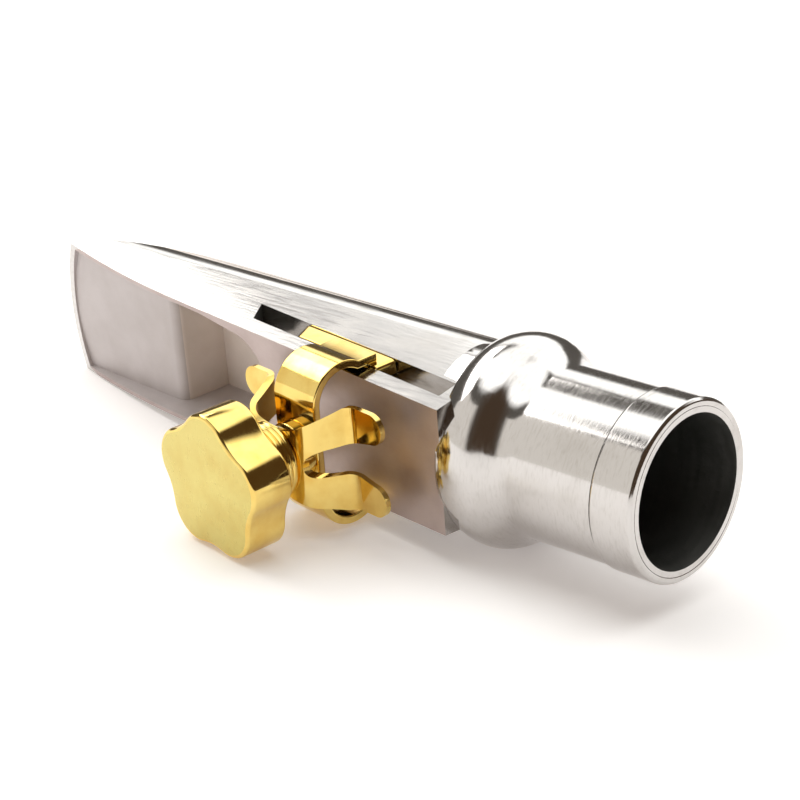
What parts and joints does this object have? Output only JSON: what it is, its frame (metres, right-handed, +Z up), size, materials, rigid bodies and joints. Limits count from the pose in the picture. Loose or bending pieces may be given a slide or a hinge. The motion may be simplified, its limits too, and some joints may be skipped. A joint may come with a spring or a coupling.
{
  "type": "saxophone mouthpiece with rail ligature",
  "caption": "Metal alto saxophone mouthpiece with a sliding rail ligature: clamp band, fingered pressure plate and lobed thumb screw.",
  "frame": {"origin": "centre of the shank's open end, on the bore axis", "axes": "+X out of the shank along the bore; +Z up; the reed table faces -Y and leans 9.5 degrees downwards, so the knob and the shank's shoulder rest on one level"},
  "size_m": [0.0899, 0.0383, 0.0226],
  "materials": {
    "silver_plate": "polished silver plate on brass, satin on the reed table",
    "gold_plate": "polished gold plate on brass",
    "spring_steel": "turned steel"
  },
  "bodies": {
    "mouthpiece": {"mouthpiece_body": "silver_plate", "shank_ring": "silver_plate"},
    "clamp": {"ligature_band": "gold_plate", "upper_rail_shoe": "gold_plate", "lower_rail_shoe": "gold_plate", "threaded_boss": "gold_plate"},
    "plate": {"pressure_plate": "gold_plate"},
    "screw": {"thumb_knob": "gold_plate", "thrust_collar": "gold_plate", "screw_stem": "spring_steel", "retaining_ring": "spring_steel"}
  },
  "joints": [
    {"name": "clamp_slide", "type": "slide", "parent": "mouthpiece", "child": "clamp", "axis": [0.9933, -0.1144, -0.0191], "range_m": [-0.007, 0.0078]},
    {"name": "plate_lift", "type": "slide", "parent": "clamp", "child": "plate", "axis": [-0.116, -0.9796, -0.1639], "range_m": [-0.00048, 0.00196]},
    {"name": "screw_turn", "type": "hinge", "parent": "plate", "child": "screw", "pos_m": [-0.03849, -0.00848, -0.00142], "axis": [-0.116, -0.9796, -0.1639], "range_deg": [-240, 1000]}
  ],
  "couplings": [
    {"joint": "plate_lift", "follows": "screw_turn", "m_per_rad": 0.00011141}
  ]
}
